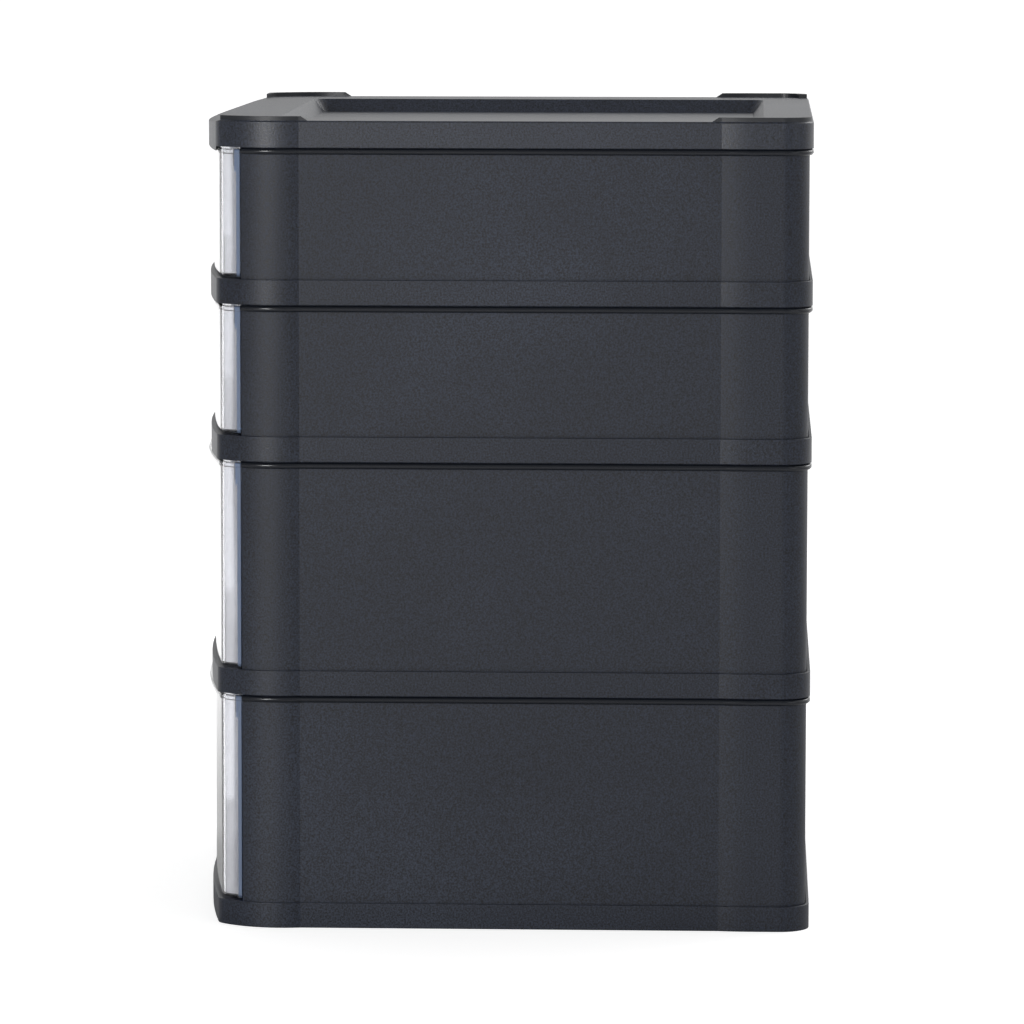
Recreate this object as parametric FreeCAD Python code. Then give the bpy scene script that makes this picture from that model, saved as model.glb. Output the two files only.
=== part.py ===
"""Stack of four drawers for letter and A4 paper: black moulded shelves and wall shells, clear drawers.

Millimetres, +Z up.  The origin is the centre of the footprint on the floor: X is the width,
+Y the flat back, -Y the bowed front that the drawers pull out of.
"""
import FreeCAD, Part
import math
import os

V = FreeCAD.Vector

# ---- overall form, shared by the cover, the shelves, the walls and the drawer fronts
BODY_WIDTH = 390.0
BODY_DEPTH = 363.0            # flat back to the middle of the bowed front
FRONT_BOW = 15.0              # how far the middle of the front stands ahead of its two creases
FRONT_CORNER_RADIUS = 50.0
FRONT_CORNER_TURN = 49.0      # degrees that the front corner turns before the crease
CREASE_RADIUS = 12.0
BACK_CORNER_RADIUS = 18.0
PANEL_RECESS = 1.4            # the flat middle of each side lies this far inside its corners
PANEL_REAR_BULGE = 115.0      # radius of the swell that ends the flat at the rear
PANEL_REAR_MARGIN = 35.5      # from the back to the top of that swell

# ---- levels
SHALLOW_PITCH = 91.6
DEEP_PITCH = 137.5
BAND_HEIGHT = 14.8            # skirt of each shelf
PITCHES = (DEEP_PITCH, DEEP_PITCH, SHALLOW_PITCH, SHALLOW_PITCH)    # from the floor up

# ---- walls of the mouldings
SKIRT_WALL = 2.0
PLATE_WALL = 2.2
SHELL_WALL = 2.2
DRAWER_WALL = 2.0
FIT_GAP = 0.3                 # between pieces that plug or slide together

# ---- wall shell: sides and back of one storey
SHELL_INSET = SKIRT_WALL + FIT_GAP
SHELL_FRONT_Y_BACKSET = 30.0  # from the middle of the front to the shell's front edges
FOOT_DEPTH = 3.6              # how deep the foot stands behind the shelf's skirt
RIM_THICKNESS = 3.3           # glossy rounded rim that the next band covers
RIM_GAP = 0.6
RIM_CHAMFER = 1.0

# ---- shelf
RIB_WALL = 1.8
RIB_DEPTH = 4.0
RIB_COUNT = 5
RUNNER_X = 120.0
RUNNER_WIDTH = 4.0
RUNNER_HEIGHT = 0.8
GUIDE_HEIGHT = 6.0
GUIDE_WALL = 2.0
CATCH_LENGTH = 50.0
CATCH_WIDTH = 4.0
CATCH_BACKSET = 4.8           # from the middle of the front to the catch rib

# ---- top cover
COVER_HEIGHT = 15.6
COVER_OVERHANG = 1.2          # the cover's front bows out this much further
COVER_CHAMFER = 0.8
SLOPE_START_BACKSET = 13.6    # top face's front edge behind the middle of the front
SLOPE_EDGE_BOW = 5.5
SLOPE_FALL = 0.36             # drop per length of the crescent ahead of the top face
VALANCE_DROP = 2.7
VALANCE_WALL = 1.2            # thin, so that the top drawer's lip slides behind it
RECESS_DEPTH = 8.0
RECESS_SIDE_RIM = 48.0
RECESS_REAR_RIM = 29.0
RECESS_FRONT_RIM = 49.0       # from the middle of the front
RECESS_WALL_RUN = 6.5         # how far the sloped wall runs in
RECESS_CORNER = 10.0
RIDGE_HEIGHT = 2.6
RIDGE_WIDTH = 5.0
RIDGE_RAMP = 4.0
RIDGE_INSET = 1.0             # ridge behind the cover's side faces
RIDGE_SETBACK = 2.6           # front ridges' outer ends behind the crease
RIDGE_FRONT_REACH = 69.5      # from the middle of the front to the ridge's inner end
RIDGE_REAR_REACH = 59.0

# ---- drawer
FRONT_INSET = 2.2             # face and returns inside the band's outline
SHOULDER_GAP = 0.5            # between the drawer's shoulder and the shell's front edge
FLOOR_GAP = FIT_GAP           # over the runners
TOP_GAP = 1.3                 # under the next band
TUB_SIDE_GAP = 0.8
TUB_REAR_GAP = 3.0
TUB_CORNER = 14.0
TUB_DRAFT = 2.0
TUB_RIM_HEIGHT = 10.0
TUB_RIM_STEP = 1.2
TUB_RIM_DROP = 0.7            # the tub's rim lies this far below the front's top
BOTTOM_CHAMFER = 1.8
LIP_HEIGHT = 3.0
LIP_STEP = 0.7                # how far the lip stands out at the returns
SHALLOW_LIP_BOW = 0.6         # extra bow of the lip over the front's
DEEP_LIP_BOW = 4.0
EAR_HEIGHT = 10.0
EAR_DEPTH = 3.6
DRAWER_TRAVEL = 255.0
LUG_X = 60.0
LUG_WIDTH = 14.0
LUG_WALL = 2.6
LUG_RISE = 5.6                # above the tub's rim
STOP_DROP = 1.0               # stop bar's lower edge above the band's lower edge

# ---- worked out from the sizes above
OVERALL_DEPTH = BODY_DEPTH + max(DEEP_LIP_BOW + LIP_STEP - FRONT_INSET, COVER_OVERHANG)
BACK_Y = OVERALL_DEPTH / 2
APEX_Y = BACK_Y - BODY_DEPTH
TURN = math.radians(FRONT_CORNER_TURN)
CREASE_Y = APEX_Y + FRONT_BOW
CREASE_X = BODY_WIDTH / 2 - FRONT_CORNER_RADIUS * (1 - math.cos(TURN))
CORNER_Y = CREASE_Y + FRONT_CORNER_RADIUS * math.sin(TURN)
SHELL_FRONT_Y = APEX_Y + SHELL_FRONT_Y_BACKSET
SHELL_INNER = SHELL_INSET + SHELL_WALL
SEAT_INNER = SHELL_INNER + FIT_GAP
PLATE_TOP = BAND_HEIGHT - FOOT_DEPTH
LIP_RISE = PLATE_TOP - PLATE_WALL          # shell's nesting lip above the next band's lower edge
FAR = BODY_WIDTH + BODY_DEPTH              # longer than anything on the object


def circles_meet(centre_a, radius_a, centre_b, radius_b):
    """The outer of the two points where two circles meet, the one with the larger X."""
    line = centre_b.sub(centre_a)
    span = line.Length
    along = (span ** 2 + radius_a ** 2 - radius_b ** 2) / (2 * span)
    across = math.sqrt(radius_a ** 2 - along ** 2)
    unit = line.normalize()
    base = centre_a + unit * along
    sides = [base + V(-unit.y, unit.x, 0) * across, base - V(-unit.y, unit.x, 0) * across]
    return max(sides, key=lambda point: point.x)


def arc(centre, radius, start, end):
    """Arc between two points of a circle, by the short way round."""
    middle = (start.sub(centre).normalize() + end.sub(centre).normalize()).normalize()
    return Part.Arc(start, centre + middle * radius, end).toShape()


def chord(radius, depth):
    """Half the chord of a circle at this depth under its top."""
    return math.sqrt(radius ** 2 - (radius - depth) ** 2)


def mirrored(shape):
    return shape.mirror(V(0, 0, 0), V(1, 0, 0))


def side_edges(side, inset, back_side):
    """One side in plan: the front corner's arc dips to a flat panel, which a long swell ends at the rear."""
    corner_radius = FRONT_CORNER_RADIUS - inset
    bulge_radius = PANEL_REAR_BULGE - inset
    panel = side - PANEL_RECESS
    rear_y = BACK_Y - PANEL_REAR_MARGIN
    front = V(panel, CORNER_Y + chord(corner_radius, PANEL_RECESS), 0)
    rear = V(panel, rear_y - chord(bulge_radius, PANEL_RECESS), 0)
    crown = V(side, rear_y, 0)
    edges = [Part.makeLine(front, rear), arc(V(side - bulge_radius, rear_y, 0), bulge_radius, rear, crown),
             Part.makeLine(crown, back_side)]
    return front, edges


def plan_face(inset=0.0, bow=FRONT_BOW):
    """The stack's outline in plan, moved in by inset: flat back, panelled sides, bowed front."""
    side = BODY_WIDTH / 2 - inset
    corner_radius = FRONT_CORNER_RADIUS - inset
    bow_radius = (CREASE_X ** 2 + bow ** 2) / (2 * bow)
    bow_centre = V(0, CREASE_Y - bow + bow_radius, 0)
    corner_centre = V(BODY_WIDTH / 2 - FRONT_CORNER_RADIUS, CORNER_Y, 0)
    crease = max(CREASE_RADIUS - inset, FIT_GAP)
    crease_centre = circles_meet(corner_centre, corner_radius - crease,
                                 bow_centre, bow_radius - inset - crease)
    corner_end = corner_centre + (crease_centre - corner_centre).normalize() * corner_radius
    bow_end = bow_centre + (crease_centre - bow_centre).normalize() * (bow_radius - inset)
    back_radius = max(BACK_CORNER_RADIUS - inset, FIT_GAP)
    back_end = V(side - back_radius, BACK_Y - inset, 0)
    back_centre = V(side - back_radius, BACK_Y - inset - back_radius, 0)
    back_side = V(side, back_centre.y, 0)
    panel_front, half = side_edges(side, inset, back_side)
    half.append(arc(back_centre, back_radius, back_side, back_end))
    half.append(arc(corner_centre, corner_radius, panel_front, corner_end))
    half.append(arc(crease_centre, crease, corner_end, bow_end))
    middle = V(0, bow_centre.y - bow_radius + inset, 0)
    front = Part.Arc(bow_end, middle, V(-bow_end.x, bow_end.y, 0)).toShape()
    back = Part.makeLine(back_end, V(-back_end.x, back_end.y, 0))
    edges = half + [mirrored(edge) for edge in half] + [front, back]
    return Part.Face(Part.Wire(Part.__sortEdges__(edges)))


def slab(face, low, high):
    return face.translated(V(0, 0, low)).extrude(V(0, 0, high - low))


def plan(inset, low, high, bow=FRONT_BOW):
    return slab(plan_face(inset, bow), low, high)


def ring(outer, inner, low, high, bow=FRONT_BOW):
    """Upright wall that follows the outline, from one inset to a deeper one."""
    return plan(outer, low, high, bow).cut(plan(inner, low, high, bow))


def eased(inset, low, high, bow=FRONT_BOW, low_ease=0.0, high_ease=0.0):
    """Slab of the outline with chamfered lower and upper edges."""
    body = plan(inset, low + low_ease, high - high_ease, bow)
    face = plan_face(inset, bow)
    if low_ease:
        body = body.fuse(tapered(plan_face(inset + low_ease, bow), face, low, low + low_ease))
    if high_ease:
        body = body.fuse(tapered(face, plan_face(inset + high_ease, bow), high - high_ease, high))
    return body


def block(x0, x1, y0, y1, z0, z1):
    return Part.makeBox(x1 - x0, y1 - y0, z1 - z0, V(x0, y0, z0))


def behind(y, low, high):
    """Everything on the +Y side of y, between two levels."""
    return block(-FAR, FAR, y, FAR, low, high)


def ahead(y, low, high):
    return block(-FAR, FAR, -FAR, y, low, high)


def rounded_face(half_width, front_y, rear_y, corner):
    """Plan of a tub: square at the front, rounded at the two rear corners."""
    right = V(half_width, rear_y - corner, 0)
    rear = V(half_width - corner, rear_y, 0)
    centre = V(half_width - corner, rear_y - corner, 0)
    half = [Part.makeLine(V(half_width, front_y, 0), right), arc(centre, corner, right, rear)]
    across = [Part.makeLine(rear, V(-rear.x, rear.y, 0)),
              Part.makeLine(V(half_width, front_y, 0), V(-half_width, front_y, 0))]
    return Part.Face(Part.Wire(Part.__sortEdges__(half + [mirrored(edge) for edge in half] + across)))


def tapered(low_face, high_face, low, high):
    wires = [low_face.translated(V(0, 0, low)).OuterWire, high_face.translated(V(0, 0, high)).OuterWire]
    return Part.makeLoft(wires, True, True)


def lengthwise_ribs(low, high):
    """Evenly spaced stiffening ribs under the plate, running from front to back."""
    step = (BODY_WIDTH - 2 * SKIRT_WALL) / (RIB_COUNT + 1)
    places = [(index - (RIB_COUNT - 1) / 2) * step for index in range(RIB_COUNT)]
    front_y = SHELL_FRONT_Y - FIT_GAP - PLATE_WALL
    ribs = [block(x - RIB_WALL / 2, x + RIB_WALL / 2, front_y, BACK_Y, low, high) for x in places]
    return [rib.common(plan(SEAT_INNER, low, high)) for rib in ribs]


def stop_bar(low, high):
    """Cross bar that the drawer's rear lugs meet at full travel."""
    lug_front = tub_rear_y() - LUG_WALL
    rear_face = lug_front - DRAWER_TRAVEL - FIT_GAP
    return block(-BODY_WIDTH / 4, BODY_WIDTH / 4, rear_face - RIB_WALL, rear_face, low, high)


def tub_half_width():
    """Tub rim's half width: it passes between the shell's front edges."""
    turn_depth = CORNER_Y - SHELL_FRONT_Y
    turn_radius = FRONT_CORNER_RADIUS - SHELL_INNER
    edge_x = BODY_WIDTH / 2 - FRONT_CORNER_RADIUS + math.sqrt(turn_radius ** 2 - turn_depth ** 2)
    return edge_x - TUB_SIDE_GAP


def tub_rear_y():
    return BACK_Y - SHELL_INNER - TUB_REAR_GAP


def make_shelf(base):
    """Moulded shelf: skirt band, hollow front sill, ribbed plate, drawer runners, guides and catch."""
    top = base + BAND_HEIGHT
    plate = base + PLATE_TOP
    under = plate - PLATE_WALL
    sill_y = SHELL_FRONT_Y - FIT_GAP
    body = plan(0, base, top)
    sill_hollow = plan(SKIRT_WALL, under, top - PLATE_WALL).common(ahead(sill_y - PLATE_WALL, under, top))
    body = body.cut(plan(SKIRT_WALL, base, under).fuse(sill_hollow))
    body = body.cut(plan(SKIRT_WALL, plate, top).common(behind(sill_y, plate, top)))
    guide_x = tub_half_width() + FIT_GAP
    rear_y = tub_rear_y()
    runners = [block(x - RUNNER_WIDTH / 2, x + RUNNER_WIDTH / 2, sill_y, rear_y,
                     plate, top + RUNNER_HEIGHT) for x in (-RUNNER_X, RUNNER_X)]
    guide = block(guide_x, guide_x + GUIDE_WALL, CORNER_Y, rear_y - TUB_CORNER, plate, top + GUIDE_HEIGHT)
    catch_y = APEX_Y + CATCH_BACKSET
    catch = block(-CATCH_LENGTH / 2, CATCH_LENGTH / 2, catch_y, catch_y + CATCH_WIDTH,
                  top, top + RUNNER_HEIGHT)
    below = lengthwise_ribs(under - RIB_DEPTH, under) + [stop_bar(base + STOP_DROP, under)]
    return body.fuse(below + runners + [guide, mirrored(guide), catch]).removeSplitter()


def make_shell(base, pitch):
    """Sides and back of one storey in one moulding, with a rounded rim and a nesting lip on top."""
    foot = base + PLATE_TOP
    top = base + pitch + LIP_RISE
    rim_top = base + pitch - RIM_GAP
    wall = ring(SHELL_INSET, SHELL_INNER, foot, top)
    rim = eased(0, rim_top - RIM_THICKNESS, rim_top, low_ease=RIM_CHAMFER, high_ease=RIM_CHAMFER)
    rim = rim.cut(plan(SHELL_INNER, rim_top - RIM_THICKNESS, rim_top))
    return wall.fuse(rim).common(behind(SHELL_FRONT_Y, foot, top)).removeSplitter()


def cover_slope(top):
    """The wedge taken off the cover's front, which leaves a falling crescent."""
    radius = CREASE_X ** 2 / (2 * SLOPE_EDGE_BOW)
    edge_y = APEX_Y - COVER_OVERHANG + SLOPE_START_BACKSET
    reach = 2 * SLOPE_START_BACKSET + SLOPE_EDGE_BOW
    centre_y = edge_y + radius
    profile = [V(0, edge_y, top), V(0, edge_y - reach, top - reach * SLOPE_FALL),
               V(0, edge_y - reach, top + COVER_HEIGHT), V(0, edge_y, top + COVER_HEIGHT)]
    half_turn = math.degrees(BODY_WIDTH / radius)
    face = Part.Face(Part.makePolygon(profile + profile[:1]))
    face.rotate(V(0, centre_y, 0), V(0, 0, 1), -half_turn)
    return face.revolve(V(0, centre_y, 0), V(0, 0, 1), 2 * half_turn)


def recess_tool(top, grow):
    """The sunken field of the cover with its sloped walls, or the same grown by a wall."""
    def field(run, level):
        half = BODY_WIDTH / 2 - RECESS_SIDE_RIM - run + grow
        front = APEX_Y + RECESS_FRONT_RIM + run - grow
        rear = BACK_Y - RECESS_REAR_RIM - run + grow
        corner = RECESS_CORNER - run + grow
        shape = block(-half, half, front, rear, 0, 1)
        uprights = [edge for edge in shape.Edges if edge.BoundBox.ZLength > 0.5]
        shape = shape.makeFillet(corner, uprights)
        foot = [face for face in shape.Faces if face.BoundBox.ZMax < 0.5][0]
        return foot.OuterWire.translated(V(0, 0, level))
    over = COVER_HEIGHT
    slope = RECESS_WALL_RUN / RECESS_DEPTH
    return Part.makeLoft([field(RECESS_WALL_RUN, top - RECESS_DEPTH - grow),
                          field(-slope * over, top + over - grow)], True, True)


def cover_ridges(top):
    """Four raised ridges round the corners, with ramped inner ends."""
    high = top + RIDGE_HEIGHT
    low = top - COVER_CHAMFER
    band = ring(RIDGE_INSET, RIDGE_INSET + RIDGE_WIDTH, low, high)

    def kept(outer_y, inner_y, ramp):
        corners = [V(-FAR, outer_y, low), V(-FAR, inner_y, low), V(-FAR, inner_y, top),
                   V(-FAR, inner_y - ramp, high), V(-FAR, outer_y, high)]
        return Part.Face(Part.makePolygon(corners + corners[:1])).extrude(V(2 * FAR, 0, 0))
    front = band.common(kept(CREASE_Y + RIDGE_SETBACK, APEX_Y + RIDGE_FRONT_REACH, RIDGE_RAMP))
    rear = band.common(kept(FAR, BACK_Y - RIDGE_REAR_REACH, -RIDGE_RAMP))
    clear_half = BODY_WIDTH / 2 - BACK_CORNER_RADIUS
    rear = rear.cut(block(-clear_half, clear_half, CORNER_Y, FAR, low, high))
    return [front, rear]


def make_cover(base):
    """Top cover: thin moulding with a sunken field, falling front crescent, front valance and ridges."""
    top = base + COVER_HEIGHT
    bow = FRONT_BOW + COVER_OVERHANG
    body = eased(0, base, top, bow, high_ease=COVER_CHAMFER).cut(cover_slope(top))
    valance = ring(0, VALANCE_WALL, base - VALANCE_DROP, base, bow)
    valance = valance.common(ahead(CREASE_Y, base - VALANCE_DROP, base))
    seat = base + LIP_RISE
    hollow = plan(SKIRT_WALL, base, seat, bow).fuse(
        plan(SEAT_INNER, seat, top - PLATE_WALL, bow)).cut(recess_tool(top, PLATE_WALL))
    slope_skin = cover_slope(top - PLATE_WALL)
    body = body.cut(hollow.cut(slope_skin)).cut(recess_tool(top, 0))
    under = top - RECESS_DEPTH - PLATE_WALL
    bar = stop_bar(base + STOP_DROP, under)
    return body.fuse(cover_ridges(top) + [valance, bar]).removeSplitter()


def make_drawer(base, pitch, lip_bow):
    """Clear one-piece drawer: bowed front with side returns, shoulders, tapered tub, lip and lugs."""
    low = base + BAND_HEIGHT + RUNNER_HEIGHT + FLOOR_GAP
    high = base + pitch - TOP_GAP
    rim = high - TUB_RIM_DROP
    shoulder = SHELL_FRONT_Y - SHOULDER_GAP
    half = tub_half_width() - TUB_RIM_STEP
    rear = tub_rear_y() - TUB_RIM_STEP
    wall = DRAWER_WALL
    tub_front = shoulder - 2 * wall
    draft_low = BOTTOM_CHAMFER + TUB_DRAFT

    def section(inset):
        return rounded_face(half - inset, tub_front, rear - inset, TUB_CORNER - inset)

    def front_only(shape):
        return shape.common(ahead(shoulder, low, high))
    face = front_only(eased(FRONT_INSET, low, high, low_ease=BOTTOM_CHAMFER))
    foot = tapered(section(draft_low), section(TUB_DRAFT), low, low + BOTTOM_CHAMFER)
    tub = tapered(section(TUB_DRAFT), section(0), low + BOTTOM_CHAMFER, rim)
    rim_face = rounded_face(half + TUB_RIM_STEP, tub_front, rear + TUB_RIM_STEP, TUB_CORNER + TUB_RIM_STEP)
    rim_band = slab(rim_face, rim - TUB_RIM_HEIGHT, rim).common(behind(shoulder - wall, low, high))
    lip = front_only(eased(FRONT_INSET - LIP_STEP, high - LIP_HEIGHT, high, FRONT_BOW + lip_bow,
                           low_ease=LIP_STEP, high_ease=LIP_STEP))
    body = face.fuse([foot, tub, rim_band, lip])
    hollow = plan(FRONT_INSET + wall, low + wall, high).common(ahead(shoulder - wall, low, high))
    hollow = hollow.fuse(tapered(section(wall + TUB_DRAFT), section(wall), low + wall, high))
    body = body.cut(hollow)
    ear = block(half - wall, FAR, shoulder - EAR_DEPTH, shoulder, high - EAR_HEIGHT, high)
    ear = ear.common(plan(FRONT_INSET, high - EAR_HEIGHT, high))
    lugs = [block(x - LUG_WIDTH / 2, x + LUG_WIDTH / 2, tub_rear_y() - LUG_WALL, tub_rear_y(),
                  rim - TUB_RIM_HEIGHT, rim + LUG_RISE) for x in (-LUG_X, LUG_X)]
    return body.fuse([ear, mirrored(ear)] + lugs).removeSplitter()


def save(shape, name):
    solid = shape.Solids[0] if len(shape.Solids) == 1 else shape
    solid.exportStep(f"parts/{name}.step")
    print(f"{name}: {len(shape.Solids)} solid(s), {len(shape.Faces)} faces, valid {shape.isValid()}, "
          f"{shape.Volume / 1000:.1f} cm3, z {shape.BoundBox.ZMin:.2f} to {shape.BoundBox.ZMax:.2f}, "
          f"y {shape.BoundBox.YMin:.2f} to {shape.BoundBox.YMax:.2f}")


def main():
    os.makedirs("parts", exist_ok=True)
    base = 0.0
    for index, pitch in enumerate(PITCHES):
        storey = len(PITCHES) - index
        lip_bow = DEEP_LIP_BOW if pitch == DEEP_PITCH else SHALLOW_LIP_BOW
        save(make_shelf(base), "base_shelf" if index == 0 else f"shelf_{storey}")
        save(make_shell(base, pitch), f"wall_shell_{storey}")
        save(make_drawer(base, pitch, lip_bow), f"drawer_{storey}")
        base += pitch
    save(make_cover(base), "top_cover")


main()
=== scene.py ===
import math

import bpy
from mathutils import Matrix, Vector


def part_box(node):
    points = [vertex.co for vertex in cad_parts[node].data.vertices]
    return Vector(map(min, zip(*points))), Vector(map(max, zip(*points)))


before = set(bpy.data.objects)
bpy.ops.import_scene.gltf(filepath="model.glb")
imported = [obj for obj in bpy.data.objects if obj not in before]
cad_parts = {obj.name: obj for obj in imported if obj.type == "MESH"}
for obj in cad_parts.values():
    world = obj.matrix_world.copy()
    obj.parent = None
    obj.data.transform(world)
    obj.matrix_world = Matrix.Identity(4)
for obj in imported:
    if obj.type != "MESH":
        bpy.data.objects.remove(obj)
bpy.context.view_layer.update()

# Looks of a stack of four clear drawers in black moulded shelves and wall shells.
# Metres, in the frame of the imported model: X is the width, +Y the flat back, +Z up.

MM = 0.001

# ---- camera: the photograph's viewpoint, square to the stack's +X side and a little above it
CAMERA_PLACE = Vector((3.65787, 0.14717, 0.61721))
CAMERA_HEADING = -177.705         # degrees from +X, the way the camera looks
CAMERA_PITCH = -6.103
CAMERA_ROLL = 0.082
CAMERA_LENS = 210.39              # mm
SENSOR_WIDTH = 36.0

# ---- colours, linear
BLACK = (0.0107, 0.0142, 0.0248, 1.0)
BLOOM = (0.0185, 0.0235, 0.0375, 1.0)
GLOSS_BLACK = (0.009, 0.011, 0.016, 1.0)
LINT = (0.20, 0.20, 0.21, 1.0)
CLEAR = (0.962, 0.966, 1.0, 1.0)
PAINTED_EDGE_TINT = (0.215, 0.28, 0.42, 1.0)    # painted tint and shade for where one looks into the plastic along a wall
FLOOR = (0.80, 0.80, 0.80, 1.0)
WHITE = (1.0, 1.0, 1.0, 1.0)

# ---- black plastic
SHELF_ROUGHNESS = 0.40
WALL_ROUGHNESS = 0.50
COVER_ROUGHNESS = 0.385
RIM_ROUGHNESS = 0.21              # polished rim at the top of each wall shell
RIDGE_ROUGHNESS = 0.42            # and the smooth tops of the cover's ridges
COVER_PAINTED_SHEEN = 1.1                  # the cover's colour is a little lighter than the rest: painted sheen
PLASTIC_IOR = 1.48
COVER_IOR = 1.56
NO_BAND = (-1.0, -0.9)            # below the floor, for a piece with no smooth band

GRAIN_SCALE = 950.0               # features of a little over a millimetre
GRAIN_RANGE = (0.30, 0.70)        # the part of the noise's values that is used
GRAIN_DEPTH = 0.14 * MM
GRAIN_STRENGTH = 0.6
GRAIN_PAINTED_SHADE = 0.05                 # painted shade between the grain's tips, as a share of the colour
GRAIN_PAINTED_HIGHLIGHT = 2.1                 # and painted highlight on them
ROUGHNESS_SWING = (-0.04, 0.06)   # from the valleys of the grain to its tips
BLOOM_SCALE = 7.0
BLOOM_RANGE = (0.42, 0.72)
LINT_SCALE = 26.0
LINT_SIZE = 0.008                 # of the distance between two specks
LINT_RANGE = (0.52, 0.54)         # lint lies only where the bloom's noise is above this

# ---- heights of the smooth bands, from the top of the piece
LIP_RISE = 9.0 * MM               # the shell's nesting lip above the next band's lower edge
RIM_LOW = 3.9 * MM                # the rim's lower and upper ends below that edge
RIM_HIGH = 0.6 * MM
RIDGE_TOP = 2.4 * MM              # smooth part of the cover's ridges, which are 2.6 mm high

# ---- clear plastic
CLEAR_IOR = 1.28                  # low, for the soft look of thin walls; the coat keeps the gloss
COAT_ROUGHNESS = 0.03
CLEAR_ROUGHNESS = (0.07, 0.13)
FLOW_SCALE = 14.0
SEE_THROUGH = 0.95                # transmission of the walls
PAINTED_EDGE_SEE_THROUGH = 0.30           # and of the edges with the painted tint and shade
RETURN_END = -150.75 * MM         # rear edge of the returns beside a drawer's front
EDGE_WIDTH = 2.1 * MM
EAR_WIDTH = 3.2 * MM
EAR_DROP = 18.2 * MM              # below the top of the drawer's rear lugs

# ---- moulded edges; angles in degrees
WALL_ROUNDING = 0.35 * MM
SHELF_ROUNDING = 0.4 * MM
COVER_ROUNDING = 0.12 * MM
DRAWER_ROUNDING = 0.12 * MM
ROUNDING_SEGMENTS = 3
WELD = 0.01 * MM
DRAWER_WELD = 0.1 * MM
FLAT_ANGLE = 0.5                  # facets that turn less than this are one face
OUTWARD_ANGLE = 35.0              # outward edges above this are rounded
WALL_ANGLE = 50.0                 # and on the wall shells every edge above this
CORNER_ANGLES = (35.0, 180.0)     # inner corners, which stay crisp
CREASE_ANGLES = (5.5, 14.0)       # the shallow creases of the side panels, which stay crisp too

# ---- light
TARGET = (0.0, 0.0, 0.24)         # what the lamps are aimed at
LAMPS = (                         # name, place, size in metres, watts
    ("key", (4.40, -1.87, 1.25), (0.8, 1.3), 92.0),     # tall and soft, frontward of the camera
    ("fill", (2.2, 2.6, 1.2), (1.5, 1.5), 7.0),
    ("top", (-1.7, 1.7, 1.6), (1.2, 1.2), 14.0),        # behind the stack, for the cover's top
)
BACKDROP_LIGHT = 1.0              # world behind the stack, as the camera sees it
ROOM_LIGHT = 0.30                 # world on the camera's side
BACKDROP_FACING = (0.954, -0.30, 0.0)
BACKDROP_RANGE = (-0.35, 0.10)    # along that direction, from backdrop to room
DIM_SIDE = 0.65                   # share of it on the side of the drawers' fronts
DIM_RANGE = (-0.45, 0.25)         # along Y, from the dim side to the full one
FLOOR_SIZE = 60.0
FLOOR_LIFT = 0.68                 # what the camera sees on the floor over its own colour
FLOOR_BEHIND = (-1.2, -0.3)       # X where the floor goes from backdrop white to its own colour


# ---- node helpers

def feed(tree, socket, value):
    """Set a socket to a value, or link it to another node's output."""
    if isinstance(value, bpy.types.NodeSocket):
        tree.links.new(value, socket)
    else:
        socket.default_value = value


def add_node(tree, kind, **sockets):
    """A new node with values or links on the sockets that are named."""
    node = tree.nodes.new(kind)
    for socket, value in sockets.items():
        feed(tree, node.inputs[socket.replace("_", " ")], value)
    return node


def new_material(name):
    """A new material with its node tree, emptied down to the output."""
    material = bpy.data.materials.new(name)
    material.use_nodes = True
    tree = material.node_tree
    tree.nodes.clear()
    output = tree.nodes.new("ShaderNodeOutputMaterial")
    return material, tree, output


def noise(tree, place, scale, detail, roughness=0.5):
    node = add_node(tree, "ShaderNodeTexNoise", Vector=place, Scale=scale, Detail=detail,
                    Roughness=roughness)
    return node.outputs["Fac"]


def spread(tree, value, from_range, to_range=(0.0, 1.0)):
    """Map a value's range onto another, clamped."""
    node = add_node(tree, "ShaderNodeMapRange", Value=value, From_Min=from_range[0],
                    From_Max=from_range[1], To_Min=to_range[0], To_Max=to_range[1])
    return node.outputs["Result"]


def combine(tree, operation, first, second):
    """Arithmetic on two values, each a number or an output."""
    node = tree.nodes.new("ShaderNodeMath")
    node.operation = operation
    feed(tree, node.inputs[0], first)
    feed(tree, node.inputs[1], second)
    return node.outputs[0]


def mix_colours(tree, factor, first, second):
    node = tree.nodes.new("ShaderNodeMix")
    node.data_type = "RGBA"
    feed(tree, node.inputs[0], factor)
    feed(tree, node.inputs[6], first)
    feed(tree, node.inputs[7], second)
    return node.outputs[2]


def object_place(tree):
    return tree.nodes.new("ShaderNodeTexCoord").outputs["Object"]


def along(tree, vector, axis):
    """One coordinate of a vector."""
    return add_node(tree, "ShaderNodeSeparateXYZ", Vector=vector).outputs[axis]


def between(tree, value, low, high, soft=0.1 * MM):
    """1 between two levels and 0 outside them, with a short ramp."""
    rise = spread(tree, value, (low - soft, low + soft))
    fall = spread(tree, value, (high - soft, high + soft), (1.0, 0.0))
    return combine(tree, "MULTIPLY", rise, fall)


# ---- materials

def lint(tree, place, bloom):
    """A few pale specks of dust, no wider than half a millimetre."""
    cells = add_node(tree, "ShaderNodeTexVoronoi", Vector=place, Scale=LINT_SCALE)
    dot = spread(tree, cells.outputs["Distance"], (0.5 * LINT_SIZE, LINT_SIZE), (1.0, 0.0))
    return combine(tree, "MULTIPLY", dot, spread(tree, bloom, LINT_RANGE))


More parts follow.
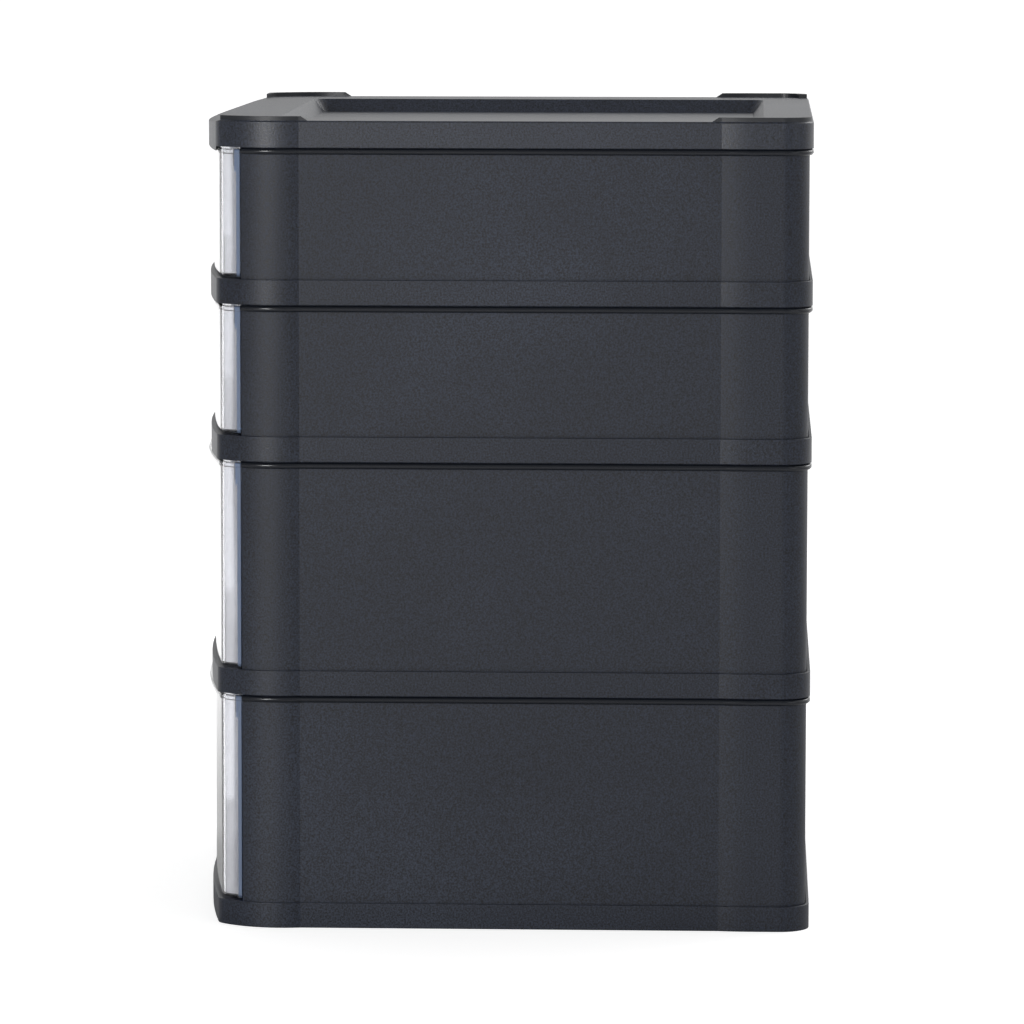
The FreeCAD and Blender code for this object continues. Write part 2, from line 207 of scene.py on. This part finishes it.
def grain_shaded_colour(tree, place, grain, painted_sheen):
    """Black with painted shade between the grain's tips and painted highlight on them, with bluish bloom
    and a little lint.
    """
    bloom = noise(tree, place, BLOOM_SCALE, 5.0, 0.55)
    tint = mix_colours(tree, spread(tree, bloom, BLOOM_RANGE), BLACK, BLOOM)
    # painted light on the grain: darker colour in its hollows, lighter on its tips
    grain_light_share = spread(tree, grain, GRAIN_RANGE, (painted_sheen * GRAIN_PAINTED_SHADE, painted_sheen * GRAIN_PAINTED_HIGHLIGHT))
    grain_lit = tree.nodes.new("ShaderNodeVectorMath")
    grain_lit.operation = "SCALE"
    feed(tree, grain_lit.inputs[0], tint)
    feed(tree, grain_lit.inputs["Scale"], grain_light_share)
    return mix_colours(tree, lint(tree, place, bloom), grain_lit.outputs[0], LINT)


def black_plastic(name, roughness, band=NO_BAND, band_roughness=0.3, painted_sheen=1.0, ior=PLASTIC_IOR):
    """Moulded polypropylene with spark-eroded grain, and one band of heights that is smooth."""
    material, tree, output = new_material(name)
    place = object_place(tree)
    smooth = between(tree, along(tree, place, "Z"), *band)
    rough = combine(tree, "SUBTRACT", 1.0, smooth)
    grain = noise(tree, place, GRAIN_SCALE, 2.0, 0.6)
    swing = tuple(roughness + change for change in ROUGHNESS_SWING)
    matte = combine(tree, "MULTIPLY", rough, spread(tree, grain, GRAIN_RANGE, swing))
    gloss = combine(tree, "MULTIPLY", smooth, band_roughness)
    relief = combine(tree, "MULTIPLY", grain, rough)
    bump = add_node(tree, "ShaderNodeBump", Strength=GRAIN_STRENGTH, Distance=GRAIN_DEPTH, Height=relief)
    shader = add_node(
        tree, "ShaderNodeBsdfPrincipled",
        Base_Color=mix_colours(tree, smooth, grain_shaded_colour(tree, place, grain, painted_sheen), GLOSS_BLACK),
        Roughness=combine(tree, "ADD", matte, gloss),
        IOR=ior,
        Normal=bump.outputs["Normal"],
    )
    feed(tree, output.inputs["Surface"], shader.outputs[0])
    return material


def painted_edge_mask(tree, place, ear_low):
    """Mask of the painted edge tint and shade: 1 on the rear edges of a drawer's returns, and on the
    ears at their upper ends.
    """
    depth = along(tree, place, "Y")
    edge = between(tree, depth, RETURN_END - EDGE_WIDTH, RETURN_END + MM)
    ear = between(tree, depth, RETURN_END - EAR_WIDTH, RETURN_END + MM)
    upper = spread(tree, along(tree, place, "Z"), (ear_low - MM, ear_low + MM))
    return combine(tree, "MAXIMUM", edge, combine(tree, "MULTIPLY", ear, upper))


def clear_plastic(name, ear_low):
    """Clear polystyrene: a breath of milk, faint flow marks, and a painted blue tint and shade on the
    edges for the look along a wall.
    """
    material, tree, output = new_material(name)
    place = object_place(tree)
    edge = painted_edge_mask(tree, place, ear_low)
    flow = noise(tree, place, FLOW_SCALE, 2.0)
    shader = add_node(
        tree, "ShaderNodeBsdfPrincipled",
        # painted: a bluish tint and less light through the rear edges of the returns
        Base_Color=mix_colours(tree, edge, CLEAR, PAINTED_EDGE_TINT),
        Transmission_Weight=spread(tree, edge, (0.0, 1.0), (SEE_THROUGH, PAINTED_EDGE_SEE_THROUGH)),
        Roughness=spread(tree, flow, GRAIN_RANGE, CLEAR_ROUGHNESS),
        IOR=CLEAR_IOR,
        Coat_Weight=1.0,
        Coat_Roughness=COAT_ROUGHNESS,
    )
    feed(tree, output.inputs["Surface"], shader.outputs[0])
    return material


# ---- edges

def edge_group(name):
    """An empty geometry node group that sees how far each edge folds; outward is above 0."""
    group = bpy.data.node_groups.new(name, "GeometryNodeTree")
    group.interface.new_socket("Geometry", in_out="INPUT", socket_type="NodeSocketGeometry")
    group.interface.new_socket("Geometry", in_out="OUTPUT", socket_type="NodeSocketGeometry")
    source = group.nodes.new("NodeGroupInput")
    result = group.nodes.new("NodeGroupOutput")
    angle = group.nodes.new("GeometryNodeInputMeshEdgeAngle")
    return group, source.outputs[0], result.inputs[0], angle.outputs["Signed Angle"]


def compare(group, operation, value, degrees):
    node = add_node(group, "FunctionNodeCompare", A=value, B=math.radians(degrees))
    node.operation = operation
    return node.outputs[0]


def crisp_group(name, *ranges):
    """Geometry nodes that keep the inward edges between each two angles crisp."""
    group, shape, result, angle = edge_group(name)
    for shallowest, steepest in ranges:
        both = group.nodes.new("FunctionNodeBooleanMath")
        feed(group, both.inputs[0], compare(group, "LESS_THAN", angle, -shallowest))
        feed(group, both.inputs[1], compare(group, "GREATER_THAN", angle, -steepest))
        shade = add_node(group, "GeometryNodeSetShadeSmooth", Geometry=shape, Selection=both.outputs[0],
                         Shade_Smooth=False)
        shade.domain = "EDGE"
        shape = shade.outputs[0]
    feed(group, result, shape)
    return group


def outward_group():
    """Geometry nodes that choose the outward edges, which are rounded without any fold."""
    group, shape, result, angle = edge_group("outward_edges")
    store = add_node(group, "GeometryNodeStoreNamedAttribute", Geometry=shape, Name="bevel_weight_edge")
    store.data_type = "FLOAT"
    store.domain = "EDGE"
    feed(group, store.inputs["Value"], compare(group, "GREATER_THAN", angle, OUTWARD_ANGLE))
    feed(group, result, store.outputs[0])
    return group


def add_group(piece, name, group):
    modifier = piece.modifiers.new(name, "NODES")
    modifier.node_group = group


def join_facets(piece, weld_width, flatten):
    """Join the facets' double vertices, and where asked merge the flat facets too."""
    weld = piece.modifiers.new("weld", "WELD")
    weld.merge_threshold = weld_width
    if flatten:
        flat = piece.modifiers.new("flat", "DECIMATE")
        flat.decimate_type = "DISSOLVE"
        flat.angle_limit = math.radians(FLAT_ANGLE)


def round_edges(piece, width, limit_method):
    bevel = piece.modifiers.new("edges", "BEVEL")
    bevel.width = width
    bevel.segments = ROUNDING_SEGMENTS
    bevel.limit_method = limit_method
    bevel.angle_limit = math.radians(WALL_ANGLE)
    bevel.harden_normals = True
    bevel.use_clamp_overlap = False


def dress(node, material, width, crisp, outward=None, weld_width=WELD, flatten=True):
    """Dress a carried-over node, and round its edges: the outward ones, or every sharp one."""
    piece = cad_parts[node]
    piece.data.materials.clear()
    piece.data.materials.append(material)
    for polygon in piece.data.polygons:
        polygon.use_smooth = True
    join_facets(piece, weld_width, flatten)
    if outward:
        add_group(piece, "outward", outward)
    round_edges(piece, width, "WEIGHT" if outward else "ANGLE")
    add_group(piece, "creases", crisp)
    normals = piece.modifiers.new("normals", "WEIGHTED_NORMAL")
    normals.keep_sharp = True


# ---- stage, light and camera

def seen_plainly(tree):
    """1 for the rays that look at the background, straight or through clear plastic."""
    path = tree.nodes.new("ShaderNodeLightPath")
    return combine(tree, "MAXIMUM", path.outputs["Is Camera Ray"], path.outputs["Is Transmission Ray"])


def seen_behind(tree):
    """1 for reflections of the floor behind the stack, where it is as white as the backdrop."""
    path = tree.nodes.new("ShaderNodeLightPath")
    behind = spread(tree, along(tree, object_place(tree), "X"), FLOOR_BEHIND, (1.0, 0.0))
    return combine(tree, "MULTIPLY", path.outputs["Is Glossy Ray"], behind)


def make_stage():
    """Pale floor that keeps the shadow."""
    bpy.ops.mesh.primitive_plane_add(size=FLOOR_SIZE)
    floor = bpy.context.object
    floor.name = "floor"
    material, tree, output = new_material("floor_paper")
    lifted = combine(tree, "MAXIMUM", seen_plainly(tree), seen_behind(tree))
    lift = combine(tree, "MULTIPLY", lifted, FLOOR_LIFT)
    diffuse = add_node(tree, "ShaderNodeBsdfDiffuse", Color=FLOOR)
    white = add_node(tree, "ShaderNodeEmission", Color=WHITE, Strength=lift)
    both = tree.nodes.new("ShaderNodeAddShader")
    feed(tree, both.inputs[0], diffuse.outputs[0])
    feed(tree, both.inputs[1], white.outputs[0])
    feed(tree, output.inputs["Surface"], both.outputs[0])
    floor.data.materials.append(material)


def make_world():
    """Light room with a white backdrop: brighter behind the stack than on the camera's side."""
    world = bpy.data.worlds.new("studio")
    bpy.context.scene.world = world
    world.use_nodes = True
    tree = world.node_tree
    tree.nodes.clear()
    output = tree.nodes.new("ShaderNodeOutputWorld")
    direction = tree.nodes.new("ShaderNodeTexCoord").outputs["Generated"]
    facing = tree.nodes.new("ShaderNodeVectorMath")
    facing.operation = "DOT_PRODUCT"
    feed(tree, facing.inputs[0], direction)
    feed(tree, facing.inputs[1], BACKDROP_FACING)
    front_to_back = spread(tree, facing.outputs["Value"], BACKDROP_RANGE, (BACKDROP_LIGHT, ROOM_LIGHT))
    side_to_side = spread(tree, along(tree, direction, "Y"), DIM_RANGE, (DIM_SIDE, 1.0))
    strength = combine(tree, "MULTIPLY", front_to_back, side_to_side)
    lit = add_node(tree, "ShaderNodeBackground", Color=WHITE, Strength=strength)
    plain = add_node(tree, "ShaderNodeBackground", Color=WHITE, Strength=1.0)
    mix = tree.nodes.new("ShaderNodeMixShader")
    feed(tree, mix.inputs[0], seen_plainly(tree))
    feed(tree, mix.inputs[1], lit.outputs[0])
    feed(tree, mix.inputs[2], plain.outputs[0])
    feed(tree, output.inputs["Surface"], mix.outputs[0])


def make_lamp(name, place, size, watts):
    """A rectangular lamp that faces the stack and isn't seen by the camera."""
    lamp = bpy.data.lights.new(name, "AREA")
    lamp.shape = "RECTANGLE"
    lamp.size, lamp.size_y = size
    lamp.energy = watts
    holder = bpy.data.objects.new(name, lamp)
    holder.visible_camera = False
    holder.location = place
    holder.rotation_euler = (Vector(TARGET) - Vector(place)).to_track_quat("-Z", "Y").to_euler()
    bpy.context.collection.objects.link(holder)


def make_camera():
    camera = bpy.data.cameras.new("camera")
    camera.lens = CAMERA_LENS
    camera.sensor_width = SENSOR_WIDTH
    holder = bpy.data.objects.new("camera", camera)
    turn = Matrix.Rotation(math.radians(CAMERA_HEADING - 90), 4, "Z")
    tilt = Matrix.Rotation(math.radians(90 + CAMERA_PITCH), 4, "X")
    roll = Matrix.Rotation(math.radians(CAMERA_ROLL), 4, "Z")
    holder.matrix_world = Matrix.Translation(CAMERA_PLACE) @ turn @ tilt @ roll
    bpy.context.collection.objects.link(holder)
    bpy.context.scene.camera = holder


def dress_all():
    """Give every carried-over node its plastic and its edges."""
    shelf_black = black_plastic("shelf_black", SHELF_ROUGHNESS)
    creases = crisp_group("panel_creases", CREASE_ANGLES)
    corners = crisp_group("inner_corners", CORNER_ANGLES)
    both_kinds = crisp_group("creases_and_corners", CREASE_ANGLES, CORNER_ANGLES)
    outward = outward_group()
    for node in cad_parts:
        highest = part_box(node)[1][2]
        if node.startswith("drawer_"):
            clear = clear_plastic(node + "_clear", highest - EAR_DROP)
            dress(node, clear, DRAWER_ROUNDING, corners, outward, DRAWER_WELD, flatten=False)
        elif node.startswith("wall_shell_"):
            seam = highest - LIP_RISE
            rim = (seam - RIM_LOW, seam - RIM_HIGH)
            wall_black = black_plastic(node + "_black", WALL_ROUGHNESS, rim, RIM_ROUGHNESS)
            dress(node, wall_black, WALL_ROUNDING, creases, flatten=False)
        elif node == "top_cover":
            ridge = (highest - RIDGE_TOP, highest + MM)
            # the cover's lighter colour is painted sheen
            cover_black = black_plastic("cover_black", COVER_ROUGHNESS, ridge, RIDGE_ROUGHNESS,
                                        COVER_PAINTED_SHEEN, COVER_IOR)
            dress(node, cover_black, COVER_ROUNDING, both_kinds, outward)
        else:
            dress(node, shelf_black, SHELF_ROUNDING, both_kinds, outward)


make_camera()
make_stage()
make_world()
for lamp_facts in LAMPS:
    make_lamp(*lamp_facts)
bpy.context.scene.view_settings.view_transform = "Standard"
dress_all()
